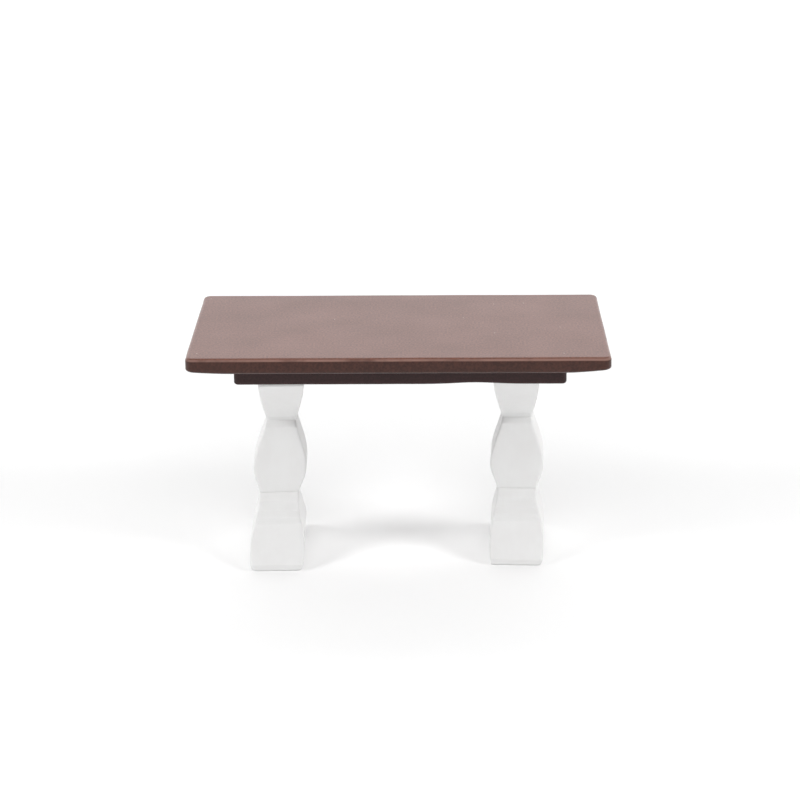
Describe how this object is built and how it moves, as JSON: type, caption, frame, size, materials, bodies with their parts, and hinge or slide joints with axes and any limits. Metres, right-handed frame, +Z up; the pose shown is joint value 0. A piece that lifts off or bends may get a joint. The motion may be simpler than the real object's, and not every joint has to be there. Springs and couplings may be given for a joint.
{
  "type": "miniature dining table",
  "caption": "Dolls' house dining table with a thick rectangular top on a smaller board, carried by vase-shaped double pedestals with stepped feet.",
  "frame": {"origin": "on the floor below the middle of the top", "axes": "+X along the table's length, +Y to its back, +Z up"},
  "size_m": [0.1142, 0.0636, 0.066],
  "materials": {
    "top_paint": "satin chocolate brown paint on wood",
    "under_top_paint": "satin chocolate brown paint on wood, a little darker",
    "pedestal_paint": "satin white paint on wood",
    "dowel_wood": "bare birch",
    "pin_steel": "plain bright steel"
  },
  "bodies": {
    "root": {"table_top": "top_paint", "under_top": "under_top_paint", "top_pin_1": "pin_steel", "top_pin_2": "pin_steel", "top_pin_3": "pin_steel", "top_pin_4": "pin_steel", "top_pin_5": "pin_steel", "top_pin_6": "pin_steel", "left_foot": "pedestal_paint", "left_column": "pedestal_paint", "left_bearer": "pedestal_paint", "left_ankle_dowel": "dowel_wood", "left_neck_dowel": "dowel_wood", "left_bearer_dowel_front": "dowel_wood", "left_bearer_dowel_back": "dowel_wood", "right_foot": "pedestal_paint", "right_column": "pedestal_paint", "right_bearer": "pedestal_paint", "right_ankle_dowel": "dowel_wood", "right_neck_dowel": "dowel_wood", "right_bearer_dowel_front": "dowel_wood", "right_bearer_dowel_back": "dowel_wood"}
  },
  "joints": []
}
